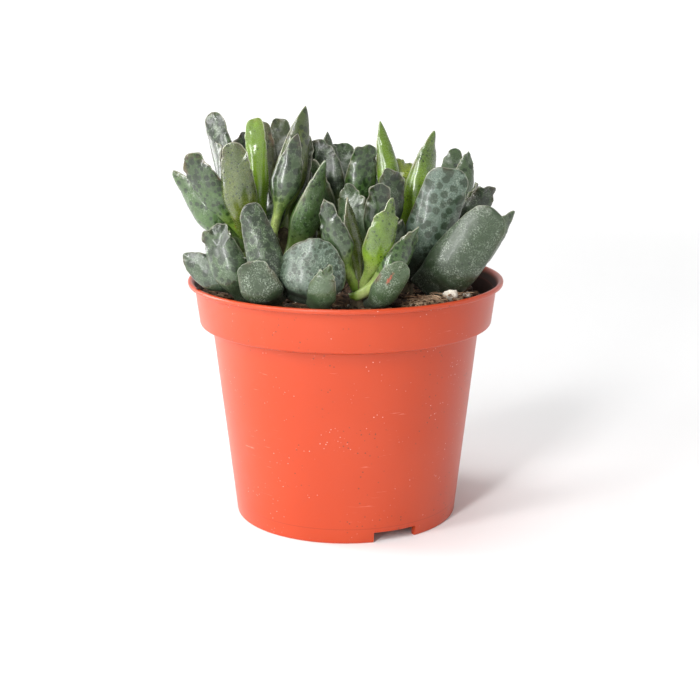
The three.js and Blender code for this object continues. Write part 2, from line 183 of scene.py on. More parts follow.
# Mesh helpers

class Shape:
    """Points, faces and stored numbers of one piece while it is made, in millimetres."""

    def __init__(self):
        self.points = []
        self.faces = []
        self.slots = []
        self.stored = {}

    def add(self, points, faces, slot=0, **stored):
        first = len(self.points)
        self.points += [tuple(p) for p in points]
        self.faces += [[first + i for i in face] for face in faces]
        self.slots += [slot] * len(faces)
        for name, values in stored.items():
            self.stored.setdefault(name, []).extend(values)

    def piece(self, name, materials, slot, nodes=()):
        """Makes the piece, which takes the place of those nodes of the frame."""
        mesh = bpy.data.meshes.new(name)
        mesh.from_pydata([Vector(p) * MM for p in self.points], [], self.faces)
        for material in materials:
            mesh.materials.append(material)
        mesh.polygons.foreach_set("material_index", self.slots)
        for key, values in self.stored.items():
            attribute = mesh.attributes.new(key, "FLOAT_VECTOR", "POINT")
            attribute.data.foreach_set("vector", [v for value in values for v in value])
        mesh.shade_smooth()
        mesh.validate()
        made = bpy.data.objects.new(name, mesh)
        bpy.context.scene.collection.objects.link(made)
        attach(made, "root")
        if nodes:
            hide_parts(*nodes)
        return made


def turn_angles(turns):
    """The angles of that many even steps round a circle."""
    return [2 * pi * j / turns for j in range(turns)]


def circle(radius, height, turns):
    return [(radius * cos(a), radius * sin(a), height) for a in turn_angles(turns)]


def loft_faces(rings, sides):
    """Faces over rings of points whose first and last points close the ends."""
    last = rings * sides + 1
    faces = []
    for j in range(sides):
        k = (j + 1) % sides
        faces.append((0, 1 + k, 1 + j))
        faces.append((last, 1 + (rings - 1) * sides + j, 1 + (rings - 1) * sides + k))
        for i in range(rings - 1):
            a = 1 + i * sides
            faces.append((a + j, a + k, a + sides + k, a + sides + j))
    return faces


def smooth(value, low, high):
    """0 below low and 1 above high, with a soft step between; low may be above high."""
    x = min(max((value - low) / (high - low), 0.0), 1.0)
    return x * x * (3 - 2 * x)


def rough(point, scale, seed=0.0):
    """Smooth noise from -1 to 1 at a point in millimetres, with features about scale wide."""
    return noise.noise(Vector(point) / scale + Vector((seed, seed * 1.7, -seed)))


# The leaves

# What a leaf has unless its row says otherwise
USUAL_LEAF = {
    "bow": 0.8,  # how far its middle stands outwards
    "point": 0.2,  # 0 for a round tip, 1 for a pointed one
    "trim": 0.0,  # width lost by a tip that ends cut off, or 0 for one that closes
    "wave": 0.8,  # height of the margin's waves
    "neck": 1.5,  # half width at the root
    "belly": 0.6,  # where along its length it is widest
    "shank": 0.14,  # the stalk's share of its length
    "spots": 0.5,  # size of the dark spots
    "dots": 1.0,  # fineness of the spots
    "stalk": 0.7,  # paleness of the stalk
    "bloom": 0.5,  # pale grains of wax, which dull the skin
    "shade": 0.5,  # darkness of the upper part
    "blush": 0.3,  # rustiness of the margin, with a red scar above 0.9
}


def leaf(root, tip, wide, thick, face, tint="grey", **more):
    """One leaf's row; face is the bearing of its outer side in degrees, 0 towards the viewer."""
    row = {"root": root, "tip": tip, "wide": wide, "thick": thick, "face": face, "tint": tint}
    return {**USUAL_LEAF, **row, **more}


def spiral(turn, count, drop, length, seed, last=1.0):
    """Leaves away from the viewer, from the first one's bearing and depth below the crown on; last
    is the share of its length that the last one keeps."""
    return {"turn": turn, "count": count, "drop": drop, "length": length, "seed": seed, "last": last}


def grow(foot, crown, rear, leaves=()):
    """A shoot's row: its stem's foot and crown, its spiral, and its leaves in sight."""
    return {"foot": foot, "crown": crown, "rear": rear, "leaves": list(leaves)}


# The last four shoots are hidden behind the others
SHOOTS = {
    "shoot_left": grow((-23, -10), (-27, -9, 86), spiral(120, 3, 7, 21, 3, last=0.68), [
        leaf((-27.5, -10, 79), (-47.1, -12, 100.8), 9.6, 7, -40, "mottled", bow=1.2, point=0.85,
             wave=0.5, belly=0.5, spots=0.6, dots=1.3, stalk=0.3, bloom=0.4),
        leaf((-27.5, -10, 82), (-42.4, -17, 105.4), 9.2, 6, -20, "mottled", trim=0.35, wave=1,
             belly=0.5, spots=0.8, dots=1.5, stalk=1, bloom=0.2, shade=0.7, blush=1),
        leaf((-27, -8, 84), (-37.6, 2, 115.4), 7.6, 5, -20, trim=0.3, wave=0.6, belly=0.5, spots=1,
             shade=0.8),
        leaf((-27, -10, 82), (-29.8, -21, 109.2), 9.8, 6.8, -12, "olive", bow=1.6, trim=0.4, neck=2.8,
             belly=0.5, spots=0.4, dots=2.3, stalk=0.4, bloom=0, shade=0.9, blush=0.4),
        leaf((-23.8, -8, 84.4), (-25, -8, 114.6), 6.2, 5.6, -5, "fresh", bow=-0.6, trim=0.15,
             wave=0.5, neck=2, belly=0.45, spots=0.2, stalk=0.3, bloom=0, shade=0.3, blush=0.4),
        leaf((-27, -8, 81), (-36, -4, 108), 6, 4.6, -80, "dark"),
        leaf((-22.7, -9.8, 73.5), (-13, -13, 110.6), 8.6, 5.6, 0, bow=0.6, point=0.85, neck=1.3,
             belly=0.68, shank=0.4, spots=0.9, dots=1.3, stalk=1, bloom=0.3, shade=0.6),
    ]),
    "shoot_upper_middle": grow((-16, -6), (-17.5, -4, 84), spiral(120, 2, 8, 18, 5), [
        leaf((-17.5, -7, 73), (-5.6, -16, 104), 9.4, 7, 40, "mottled", bow=1.2, point=0.85, wave=0.3,
             neck=1.8, belly=0.52, dots=1.6, stalk=0.9),
        leaf((-20.5, -3, 80), (-11.2, 4, 117.2), 9.8, 6.4, 20, "olive", point=0.85, wave=0.4, belly=0.5,
             spots=0.6, dots=1.1, bloom=0.2, shade=0.8),
        leaf((-19.6, -3, 82), (-23.4, 7, 112.4), 5.2, 4.6, 0, "brown", trim=0.3, shade=0.2, blush=0.8),
        leaf((-17, -2, 82), (-19.2, 14, 112.6), 8.4, 5, 0, "brown", trim=0.4, shade=0.7),
        leaf((-19, -2, 78), (-24.5, 4, 103.6), 7.6, 4.6, -20, "dark", trim=0.3),
        leaf((-18, -4, 77), (-21.6, -4, 94.5), 4, 3.5, -60, point=0.6, wave=0.4, neck=1),
        leaf((-16.5, -3, 81), (-10.6, 8, 108.4), 6, 4.5, 140, "dark", point=0.4, neck=1.2),
    ]),
    "shoot_centre": grow((4, -22), (3.5, -23, 73), spiral(195, 1, 4, 15, 7), [
        leaf((3, -23.5, 70), (-5.8, -30, 95.6), 8.8, 6.2, -20, bow=1.2, point=0.85, wave=1,
             neck=1.35, belly=0.54, shank=0.24, spots=0.8, dots=1.4, stalk=1, bloom=0.3, shade=1,
             blush=0.7),
        leaf((2.8, -22, 71), (0.4, -21, 94.8), 7, 4, 50, "olive", bow=0.3, point=0.85, wave=0.4,
             neck=1.8, belly=0.45, spots=0.2, stalk=0.3, bloom=0, shade=0.7, blush=0.9),
        leaf((4.2, -23.5, 70), (12.1, -31, 95.4), 8.6, 6, 25, "fresh", bow=1, point=0.5, wave=1.2,
             neck=1.35, belly=0.5, shank=0.2, spots=0.45, dots=1.9, stalk=0.8, bloom=0.1, shade=0.6,
             blush=0.4),
        leaf((1.8, -24.8, 68.2), (19.6, -25, 87.5), 8, 6, 35, "mottled", bow=3.8, point=0.8,
             belly=0.58, shank=0.24, spots=0.7, dots=1.5, stalk=1, bloom=0.2),
        leaf((6.6, -25, 66.2), (15, -36, 79.8), 7.8, 6.2, 10, bow=2.4, point=0.1, wave=0.3, neck=2.2,
             belly=0.5, spots=0.1, stalk=0, bloom=1, shade=0.2, blush=1),
    ]),
    "shoot_behind_centre": grow((8, -10), (8, -11, 78), spiral(150, 2, 7, 16, 9), [
        leaf((7.6, -12, 74), (9.2, -19, 98.3), 7.6, 5.5, 10, bow=0.3, trim=0.35, wave=0.9, spots=1,
             dots=1.1, bloom=0.3, shade=0.4),
        leaf((7, -11.5, 74), (0.4, -13, 96.8), 10, 5, -25, point=0.6, wave=1.3),
        leaf((8.5, -12, 73), (15, -15, 87.3), 7.5, 4.5, 40, "dark", point=0.3, wave=1.2),
        leaf((9.6, -10, 76), (13, -9, 100.6), 8.8, 5.5, 8, "dark", bow=0.5, trim=0.3, wave=0.9,
             spots=0.8),
    ]),
    "shoot_middle_back": grow((-3, 6), (-0.5, 7, 85), spiral(100, 3, 6, 19, 13), [
        leaf((-1, 6, 82), (-8.3, 7, 107.2), 12, 5.5, -30, "dark", bow=1, point=0.5, neck=1.8,
             spots=0.9, bloom=0.8),
        leaf((-1, 8, 82), (-5.5, 18, 108.6), 6, 4.5, 200, "dark", point=0.8, neck=1.3),
        leaf((0, 8, 82), (-1.2, 22, 104.8), 9, 5, 180, trim=0.3),
        leaf((-1, 5, 80), (-8.8, -3, 102.4), 6, 4, -40, "dark", point=0.6, neck=1.2),
        leaf((1.6, 5.5, 81), (5.8, 2, 106.4), 9.2, 6.4, 15, "mottled", bow=0.4, trim=0.35, spots=0.8,
             dots=1.5, bloom=0.3),
    ]),
    "shoot_right": grow((17, -3), (16.5, -1, 85), spiral(75, 2, 7, 18, 15), [
        leaf((14, 0, 83), (9.7, 8, 112.4), 7, 5.6, 20, "fresh", point=0.85, wave=0.3, belly=0.5,
             spots=0.2, stalk=0.3, bloom=0, shade=0.8, blush=0.5),
        leaf((16.6, 0, 84), (16.4, 8, 101.6), 6, 4, 10, "lime", point=0.1, wave=1.2, neck=1.3,
             spots=0.3, dots=1.4, bloom=0, shade=0.2),
        leaf((15.6, -1, 80), (24.8, 2, 110.2), 8.8, 6.8, 30, "fresh", point=0.85, wave=0.4, neck=2.2,
             belly=0.55, spots=0.35, dots=1.6, stalk=0.3, bloom=0, shade=0.9, blush=0.5),
        leaf((18, -3.5, 69), (29, -14, 101.6), 13.4, 9, 2, "silver", bow=2.2, trim=0.15, wave=0.4,
             neck=3.6, belly=0.5, spots=0.8, stalk=0, bloom=0.62, shade=0),
    ]),
    "shoot_right_back": grow((29, 10), (30, 12, 84), spiral(60, 3, 5, 20, 17), [
        leaf((30.8, 12, 82), (36, 17, 103.2), 7.2, 4.2, 20, point=0.85),
        leaf((30, 12.5, 82), (32.4, 24, 103), 8, 4.5, 170, point=0.5, wave=0.6),
        leaf((30, 10.5, 77), (41.4, 6, 94), 7.8, 5.4, 20, "dark", trim=0.3, wave=0.9, spots=1,
             bloom=0.8, shade=0.3),
    ]),
    "shoot_front_right": grow((25, -12.5), (25, -13, 71), spiral(160, 1, 2, 13, 19), [
        leaf((23.2, -14.5, 67), (40.2, -23, 91.4), 14.8, 9.5, -6, "dark", bow=1.6, trim=0.32, wave=0.3,
             neck=6.6, belly=0.4, spots=0.2, stalk=0, bloom=0.9, shade=0, blush=0.2),
        leaf((27.4, -11.6, 68), (47.2, -4, 88.4), 8.8, 4.6, 40, bow=1, point=0.7, wave=0.4, neck=2.2,
             belly=0.5, stalk=0),
    ]),
    "shoot_front_left": grow((-27, -19), (-27, -20, 71), spiral(240, 2, 2, 17, 21), [
        leaf((-28, -20, 68.6), (-44.2, -19, 78.6), 9, 5, -10, "bluish", bow=1, point=0.6,
             wave=0.3, neck=2.2, belly=0.5, spots=0.8, dots=0.85, stalk=0),
        leaf((-26.5, -22, 67), (-35.6, -26, 87.6), 10.4, 7.4, -12, bow=1.8, trim=0.35, wave=1.1,
             neck=3.2, belly=0.48, spots=0.9, dots=1.2, stalk=0, bloom=0.6),
    ]),
    "shoot_front_middle": grow((-19.5, -26), (-19, -27, 71), spiral(200, 1, 2, 14, 25), [
        leaf((-18.3, -27, 68), (-25.2, -31, 94.6), 9.8, 8, 5, bow=1.8, trim=0.45, wave=0.4, neck=3.4,
             belly=0.4, spots=1, dots=1.5, stalk=0, bloom=0.8, shade=0.7),
        leaf((-20, -28.5, 68), (-24.6, -36, 80), 11.8, 6, -15, "dark", bow=1.6, point=0.1,
             trim=0.35, wave=0.4, neck=4.6, belly=0.4, spots=0.2, stalk=0, bloom=1, shade=0.2),
    ]),
    "shoot_front_low": grow((-7, -26), (-7, -27.5, 70), spiral(180, 1, 2, 13, 27), [
        leaf((-10, -28, 67.5), (-7, -32, 85.4), 18, 10, -6, "silver", bow=2.2, point=0.45,
             wave=0.4, neck=6, belly=0.42, spots=0.75, dots=1.9, stalk=0, bloom=0.8, shade=0.2),
        leaf((-7.2, -33.6, 67.4), (-4.2, -39.6, 79.6), 8.4, 4, -10, point=0.85, wave=1, neck=3.4,
             belly=0.35, spots=0.3, dots=1.4, stalk=0, bloom=0.4),
    ]),
    "shoot_back_left": grow((-24, 14), (-27, 16, 84), spiral(200, 6, 1, 24, 11)),
    "shoot_back_middle": grow((-9, 25), (-10, 28, 80), spiral(150, 6, 1, 24, 23)),
    "shoot_back_right": grow((11, 22), (11, 26, 77), spiral(120, 6, 1, 23, 37)),
    "shoot_back_far": grow((22, 21), (24, 24, 77), spiral(100, 5, 1, 20, 41)),
}

# Turns in degrees, lengths in millimetres, and shares of a leaf's length or thickness
SPIRAL_TURN = 137.5
SPIRAL_STEP = 2.2
TOP_RISE = 78
RISE_STEP = 7.5
REAR_TINTS = ["grey", "grey", "bluish", "dark", "mottled", "olive"]
CROWDING = 1.55
LAST_RING = 0.998
TIP_START, TIP_LENGTH = 0.975, 0.025
OUTER_SHARE, INNER_SHARE = 1.12, 0.88
FAN_CENTRE = 0.76
WAVES = 3.2
FRILL = 0.26
NOTCH = 0.07
BROAD_SWELL, SMALL_SWELL = 0.15, 0.05
BROAD_SCALLOP, SMALL_SCALLOP = 0.42, 0.22
STALK_SKIN = 0.2
THINNEST_HALF = 0.34
EDGE_HALF = 0.2
ROOT_DEPTH = 0.8
FAR_FROM_EDGE = 5
STEM_TINT = (0.1, 0.08, 0.05)
STEM_DEPTH = 11.0
STEM_FOOT_RADIUS = 2.7
STEM_TOP_RADIUS = 2.1


def draws(seed):
    """A repeatable stream of numbers from 0 to 1."""
    state = seed * 7919
    while True:
        state = (state * 16807) % 2147483647
        yield state / 2147483647


def rear_leaves(shoot):
    """The leaves away from the viewer: they climb the stem in a spiral, the lower ones further out."""
    rear = shoot["rear"]
    x, y, z = shoot["crown"]
    draw = draws(rear["seed"])
    looks = random.Random(rear["seed"])
    leaves = []
    for i in range(rear["count"]):
        bearing = rear["turn"] + i * SPIRAL_TURN
        below = rear["drop"] + i * SPIRAL_STEP
        rise = radians(TOP_RISE - below / SPIRAL_STEP * RISE_STEP)
        length = rear["length"] * (0.9 + 0.25 * next(draw))
        if i == rear["count"] - 1:
            length *= rear["last"]
        spread = length * cos(rise)
        angle = radians(bearing)
        top = z - below + length * sin(rise)
        tip = (x + spread * sin(angle), y - spread * cos(angle), top)
        wide = length * (0.36 + 0.1 * next(draw))
        tint = looks.choice(REAR_TINTS)
        leaves.append(leaf((x, y, z - below), tip, wide, 0.66 * wide, bearing, tint, bow=1.2,
                           point=0.5 * next(draw), wave=1.0, spots=looks.uniform(0.3, 1.0),
                           stalk=looks.uniform(0.4, 1.0), bloom=looks.uniform(0.2, 0.8)))
    return leaves


def leaf_section(blade, t):
    """Half width, half thickness and section sharpness at t, from 0 at the root to 1 at the tip."""
    neck, belly, point = blade["neck"], blade["belly"], blade["point"]
    stalk = min(blade["shank"], 0.6 * belly)
    taper = belly + 0.2 - 0.32 * point
    half_wide = neck + (blade["wide"] / 2 - neck) * smooth(t, stalk, belly)
    if blade["trim"] and t > belly:
        past = (t - belly) / (1 - belly)
        half_wide *= (1 - blade["trim"] * past ** 1.5) * max(0.0, 1 - past ** 12) ** 0.4
    elif not blade["trim"] and t > taper:
        past = (t - taper) / (1 - taper)
        half_wide *= max(0.0, 1 - past ** (2.6 - 1.1 * point)) ** (1 / (2.2 - point))
    root = min(neck, 1.8)
    half_thick = root + (blade["thick"] / 2 - root) * smooth(t, 0.6 * stalk, belly - 0.1)
    half_thick = max(half_thick * (1 - 0.86 * smooth(t, belly - 0.1, 1)), THINNEST_HALF)
    return half_wide, half_thick, 1 + 0.84 * smooth(t, belly - 0.05, 0.95)


def add_leaf(shape, blade, seed, rings, sides):
    """Adds one leaf's fine surface to a shape, with its place, tint and look stored on each point."""
    root = Vector(blade["root"])
    along = Vector(blade["tip"]) - root
    length = along.length
    along.normalize()
    face = radians(blade["face"])
    out = Vector((sin(face), -cos(face), 0))
    out = (out - out.dot(along) * along).normalized()
    side = out.cross(along)
    shank = blade["shank"]
    points, places = [], []

    def centre(t):
        bow = blade["bow"] * sin(pi * max(t, 0) ** 0.75)
        return root + along * (length * t) + out * bow

    for i in range(rings):
        k = i / (rings - 1)
        t = (1 - (1 - k) ** CROWDING) * LAST_RING
        half_wide, half_thick, sharp = leaf_section(blade, t)
        closing = sqrt(max(0.0, 1 - max(0.0, (t - TIP_START) / TIP_LENGTH) ** 2))
        crisp = blade["wave"] * smooth(t, 0.7, 1)
        fine = blade["wave"] * smooth(t, 0.45, 0.85)
        middle = centre(t)
        for angle in turn_angles(sides):
            across = cos(angle)
            up = sin(angle)
            body = max(half_thick - EDGE_HALF, 0.05) * abs(up) ** sharp
            body *= OUTER_SHARE if up > 0 else INNER_SHARE
            rise = copysign(body + EDGE_HALF * abs(up) ** 0.5, up) * (0.35 + 0.65 * closing)
            bearing = atan2(across * half_wide, (t - FAN_CENTRE) * length)
            ripple = crisp * (0.3 + 0.7 * abs(across)) * sin(WAVES * bearing)
            edge = max(abs(across) ** 4, smooth(t, 0.86, 1))
            frill = sin(9 * bearing + 3 * seed) + 0.5 * sin(17 * bearing + seed)
            stand = rise + ripple + FRILL * fine * edge * frill
            spot = middle + side * (across * half_wide) + out * stand
            swell = BROAD_SWELL * rough(spot, 3.2, seed) + SMALL_SWELL * rough(spot, 1.1, seed)
            notch = 1 + NOTCH * fine * rough(spot, 1.6, seed + 5) * abs(across) ** 3
            spot = middle + side * (across * half_wide * notch) + out * (stand + swell * up)
            scallop = BROAD_SCALLOP * sin(5 * bearing + 2.3 * seed)
            scallop += SMALL_SCALLOP * sin(11 * bearing + seed)
            scallop *= blade["wave"] * edge * smooth(t, 0.7, 0.94)
            spot += (side * sin(bearing) + along * cos(bearing)) * scallop
            to_side = hypot(half_wide * (1 - abs(across)), rise)
            to_tip = hypot(length * (1 - t), rise)
            points.append(spot)
            skin = STALK_SKIN * t / shank
            if t >= shank:
                skin = STALK_SKIN + (1 - STALK_SKIN) * (t - shank) / (1 - shank)
            places.append((skin, across, min(to_side, to_tip)))
    points = [root - along * ROOT_DEPTH, *points, centre(1)]
    places = [(0, 0, FAR_FROM_EDGE), *places, (1, 0, 0)]
    count = len(points)
    shape.add(points, loft_faces(rings, sides), 0, leaf_place=places,
              leaf_tint=[tone(TINTS[blade["tint"]])[:3]] * count,
              leaf_look=[(blade["spots"], blade["stalk"], blade["bloom"])] * count,
              leaf_marks=[(blade["dots"], blade["shade"], blade["blush"])] * count)


def add_stem(shape, shoot, seed, rings=26, sides=20):
    """Adds a stem with the ringed scars of fallen leaves."""
    x, y = shoot["foot"]
    low = Vector((x, y, SOIL_TOP - STEM_DEPTH))
    high = Vector(shoot["crown"])
    points = []
    for i in range(rings):
        t = 0.965 * i / (rings - 1)
        radius = STEM_FOOT_RADIUS + (STEM_TOP_RADIUS - STEM_FOOT_RADIUS) * t
        middle = low.lerp(high, t)
        for angle in turn_angles(sides):
            way = Vector((cos(angle), sin(angle), 0))
            scar = 0.12 * sin(middle.z * 2.4 + 2 * sin(angle + seed))
            dent = 0.25 * rough(middle + way * radius, 1.6, seed)
            points.append(middle + way * (radius + scar + dent))
    points = [low, *points, high]
    count = len(points)
    shape.add(points, loft_faces(rings, sides), 1, leaf_place=[(0, 0, FAR_FROM_EDGE)] * count,
              leaf_tint=[STEM_TINT] * count, leaf_look=[(0, 0, 0)] * count,
              leaf_marks=[(1, 0, 0)] * count)


def leaf_material(settings):
    """Waxy skin: body tint, pale stalk, painted shade at the foot, dark blotches, grey grains and a
    thin horny margin.
    """
    g = Graph("leaf_skin")
    t, across, margin = g.stored("leaf_place")
    spots, stalk, bloom = g.stored("leaf_look")
    dots, shade, blush = g.stored("leaf_marks")
    broad = g.noise(150, 3)
    body = g.mix(g.smooth(broad, 0.3, 0.75) * 0.45, g.stored_colour("leaf_tint"), tone("#33452a"))
    stalk_tone = g.mix(g.smooth(g.noise(90, 1), 0.45, 0.65), tone("#86a83c"), tone("#b9c77c"))
    body = g.mix((1 - g.smooth(t, 0.17, 0.5)) * stalk, body, stalk_tone)
    top = g.smooth(t + broad * 0.35, 0.5, 1.0)
    body = g.mix(top * shade * 0.65, body, tone("#34411e"))
    # Painted shade: the lower part of each leaf without a pale stalk is darkened, as if shaded by the
    # soil and the leaves around it.
    foot = (1 - g.smooth(t, 0.1, 0.6)) * (1 - stalk) * (bloom * 0.5 + 0.35)
    body = g.mix(foot, body, tone("#1d241d"))
    wobble = g.noise(1100, 2) * 0.44 - 0.22
    sizes = g.noise(230, 1)
    cell = g.cells(dots * settings.spot_scale) + wobble
    limit = spots * (sizes * 0.6 + 0.16 + top * 0.12)
    blotch = g.smooth(cell - limit, 0.07, -0.06) * g.smooth(t, 0.12, 0.42)
    fleck = g.smooth(g.cells(dots * 1150) + wobble, 0.34, 0.16) * g.smooth(sizes, 0.36, 0.56)
    mottle = g.smooth(g.noise(620, 3, 0.62) + top * 0.12, 0.5, 0.58)
    body = g.mix(mottle * spots * shade * (top * 0.6 + 0.4), body, tone("#26381e"))
    body = g.mix(fleck * spots * 0.6, body, tone("#26341f"))
    dark = g.mix(1.0, body, tone("#728a62"), "MULTIPLY")
    body = g.mix(blotch * settings.spot_strength, body, dark)
    grain = g.noise(2600, 3, 0.7)
    frost = g.smooth(g.noise(330, 3, 0.6), 0.34, 0.66)
    pale = g.smooth(grain, 0.47, 0.68) * (bloom * 0.55 + 0.03) * frost * (1 - blotch * 0.5)
    body = g.mix(pale, body, tone("#b4bfae"))
    body = g.mix(g.smooth(grain, 0.5, 0.34) * bloom * 0.6, body, tone("#222c20"))
    scar = g.smooth((t + stalk * 0.6 - 0.78).math("ABSOLUTE"), 0.09, 0.04)
    scar *= g.smooth((across - 0.3 + stalk * 0.6 + wobble).math("ABSOLUTE"), 0.16, 0.04)
    scar *= g.smooth(blush, 0.9, 0.95)
    body = g.mix(scar * g.smooth(grain, 0.4, 0.5) * 0.8, body, tone("#a8442a"))
    rusty = g.smooth(margin, 1.9, 0.3) * g.smooth(g.noise(210, 2), 0.42, 0.66)
    body = g.mix(rusty * g.smooth(t, 0.4, 0.7) * blush * 0.7, body, tone("#6a4a3a"))
    horny = g.smooth(margin, 0.36, 0.2) * g.smooth(t, 0.35, 0.65) * (1 - bloom * 0.7)
    body = g.mix(horny * 0.4, body, tone("#cfccb8"))
    height = grain * (0.15 + bloom * 0.9) - blotch * 0.4 + g.noise(900, 3) * (1.3 - bloom * 0.8)
    return g.surface(
        Base_Color=body,
        Roughness=0.2 + bloom * 0.12 + grain * 0.14,
        Normal=g.bump(height, 0.00004),
        Specular_IOR_Level=0.6,
        Coat_Weight=0.6 - bloom * 0.6,
        Coat_Roughness=0.13,
        Subsurface_Weight=0.05,
        Subsurface_Scale=0.002,
        Subsurface_Radius=(0.4, 1.0, 0.25),
    )


def bark_material():
    """The brown skin of old stems."""
    g = Graph("stem_bark")
    body = g.mix(g.smooth(g.noise(300, 4), 0.35, 0.65), tone("#3d3327"), tone("#6c6148"))
    body = g.mix(g.smooth(g.noise(1500, 2), 0.55, 0.7) * 0.5, body, tone("#1f1812"))
    return g.surface(Base_Color=body, Roughness=0.8, Normal=g.bump(g.noise(1200, 4), 0.0003))


# The pot

LONGEST_STEP = 2.6
COLLAR_FOOT = 40
MARK_BEARINGS = (-123.5, -66.6, 30, 100, 170)
MARK_DEPTH = 0.16
MARK_HALF = 0.9
DRAINS = 6
DRAIN_CIRCLE = 21.5
DRAIN_RADIUS = 3
DRAIN_STEPS = 32
NOTCHES = 3
NOTCH_HALF = 6.4
NOTCH_FROM, NOTCH_TO = 29.5, 34.5


def rounded(corners, steps=5):
    """A polyline through corners (r, z, fillet), with each fillet drawn as an arc of a few points."""
    points = []
    for i, (r, z, fillet) in enumerate(corners):
        here = Vector((r, z))
        if not fillet:
            points.append(here)
            continue
        before = (Vector(corners[i - 1][:2]) - here).normalized()
        after = (Vector(corners[i + 1][:2]) - here).normalized()
        for k in range(steps + 1):
            s = k / steps
            a = here + before * fillet * (1 - s) ** 2
            points.append(a + after * fillet * s ** 2)
    return points


def pot_profile(pot):
    """Corners of the wall's section, from the middle of the underside round to the inside floor."""
    rim, high, wall = pot.rim_radius / MM, pot.height / MM, pot.wall / MM
    base, floor = pot.base_radius / MM, 3.6
    return rounded([
        (0, 0, 0), (12.5, 0, 0.4), (13.7, floor, 0.5), (base - 1.7, floor, 0.4), (base - 1.7, 0, 0.3),
        (base, 0, 0.4), (38.2, 55.6, 0.5), (41.7, 56.5, 0.6), (43.1, high - 1.5, 0.3),
        (rim - 0.15, high - 1.35, 0.45), (rim, high - 0.15, 0.5), (rim - 1.0, high + 0.03, 0.4),
        (rim - 1.5, high - 0.5, 0.4), (43.1 - wall, high - 2.8, 0.9), (41.7 - wall, 57.5, 0.4),
        (38.2 - wall, 56.6, 0.6), (base - wall + 0.4, floor + wall, 0.6), (12.9, floor + wall, 0.4),
        (11.7, wall, 0.4), (0, wall, 0),
    ])


def subdivided(points, longest):
    """The same polyline with no step longer than that."""
    made = [points[0]]
    for here in points[1:]:
        last = made[-1]
        count = max(1, ceil((here - last).length / longest))
        made += [last.lerp(here, (k + 1) / count) for k in range(count)]
    return made


def sunk(angle, r, z):
    """How far the wall is drawn in: a slight waver, and faint upright marks on the collar."""
    drawn = 0.05 * sin(3 * angle + 1) * smooth(z, 20, 60)
    if r < COLLAR_FOOT:
        return drawn
    for bearing in MARK_BEARINGS:
        away = (angle - radians(bearing)) * r
        drawn += MARK_DEPTH * exp(-(away / MARK_HALF) ** 2) * smooth(z, 66, 62)
    return drawn


def pot_shape(pot):
    """The wall's section turned round the upright axis."""
    shape = Shape()
    first, *inner, last = subdivided(pot_profile(pot), LONGEST_STEP)
    points = [(0, 0, first.y)]
    for p in inner:
        for turn in turn_angles(pot.segments):
            angle = turn - pi
            r = p.x - sunk(angle, p.x, p.y)
            points.append((r * cos(angle), r * sin(angle), p.y))
    points.append((0, 0, last.y))
    shape.add(points, loft_faces(len(inner), pot.segments))
    return shape


def cutter(name, outline, low, high):
    """An upright prism that the pot is cut with, and that goes afterwards."""
    count = len(outline)
    points = [(x * MM, y * MM, z * MM) for z in (low, high) for x, y in outline]
    faces = [list(range(count))[::-1], [count + i for i in range(count)]]
    faces += [[i, (i + 1) % count, count + (i + 1) % count, count + i] for i in range(count)]
    mesh = bpy.data.meshes.new(name)
    mesh.from_pydata(points, [], faces)
    made = bpy.data.objects.new(name, mesh)
    bpy.context.scene.collection.objects.link(made)
    return made


def cut_pot(made, pot):
    """Cuts the drain holes in the floor and the notches in the foot."""
    cutters = []
    for turn in turn_angles(DRAINS):
        x, y = DRAIN_CIRCLE * cos(turn), DRAIN_CIRCLE * sin(turn)
        ring = [(x + p, y + q) for p, q, _ in circle(DRAIN_RADIUS, 0, DRAIN_STEPS)]
        cutters.append(cutter("drain", ring, 1.8, 6.5))
    for i in range(NOTCHES):
        turn = radians(pot.notch_bearing - 90 + 360 / NOTCHES * i)
        along = Vector((cos(turn), sin(turn)))
        across = Vector((-sin(turn), cos(turn)))
        corners = [(NOTCH_FROM, -NOTCH_HALF), (NOTCH_TO, -NOTCH_HALF), (NOTCH_TO, NOTCH_HALF),
                   (NOTCH_FROM, NOTCH_HALF)]
        outline = [tuple(along * a + across * b) for a, b in corners]
        cutters.append(cutter("notch", outline, -2, 3))
    for other in cutters:
        change = made.modifiers.new("cut", "BOOLEAN")
        change.operation = "DIFFERENCE"
        change.solver = "EXACT"
        change.object = other
    shown = made.evaluated_get(bpy.context.evaluated_depsgraph_get())
    mesh = bpy.data.meshes.new_from_object(shown)
    made.modifiers.clear()
    old, made.data = made.data, mesh
    bpy.data.meshes.remove(old)
    for other in cutters:
        bpy.data.objects.remove(other)
    mesh.shade_smooth()
    mesh.set_sharp_from_angle(angle=radians(40))


